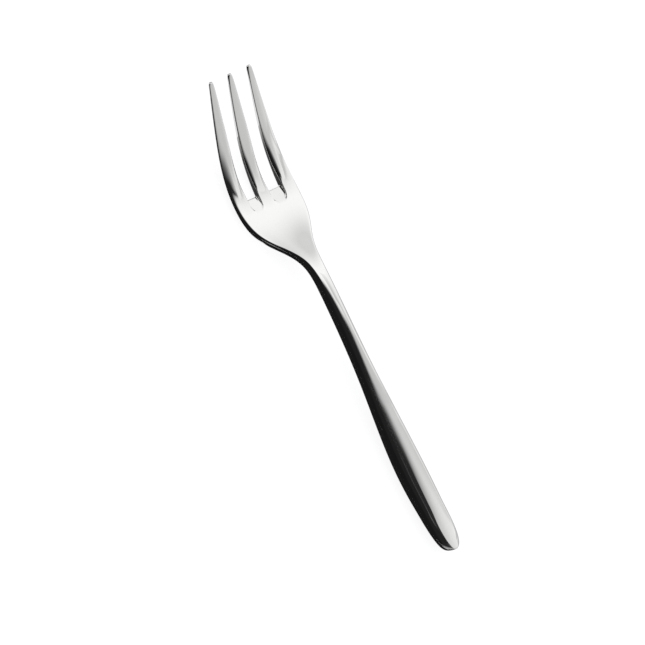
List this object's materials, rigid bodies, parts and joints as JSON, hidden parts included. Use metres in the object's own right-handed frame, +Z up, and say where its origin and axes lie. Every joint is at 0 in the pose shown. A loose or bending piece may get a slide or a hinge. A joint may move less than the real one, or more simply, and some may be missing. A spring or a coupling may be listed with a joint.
{
  "type": "pastry fork",
  "caption": "One-piece polished steel pastry fork: dished head, upswept tapering tines, slim neck and an oval handle that swells towards its rounded end.",
  "frame": {"origin": "on the table, under the middle of the fork's length and width", "axes": "+X along the fork towards the tine tips, +Z up from the table with the fork lying face up, +Y to the fork's left side"},
  "size_m": [0.15, 0.023, 0.0149],
  "materials": {
    "polished_steel": "18/10 stainless steel, mirror polished"
  },
  "bodies": {
    "root": {"fork": "polished_steel"}
  },
  "joints": []
}
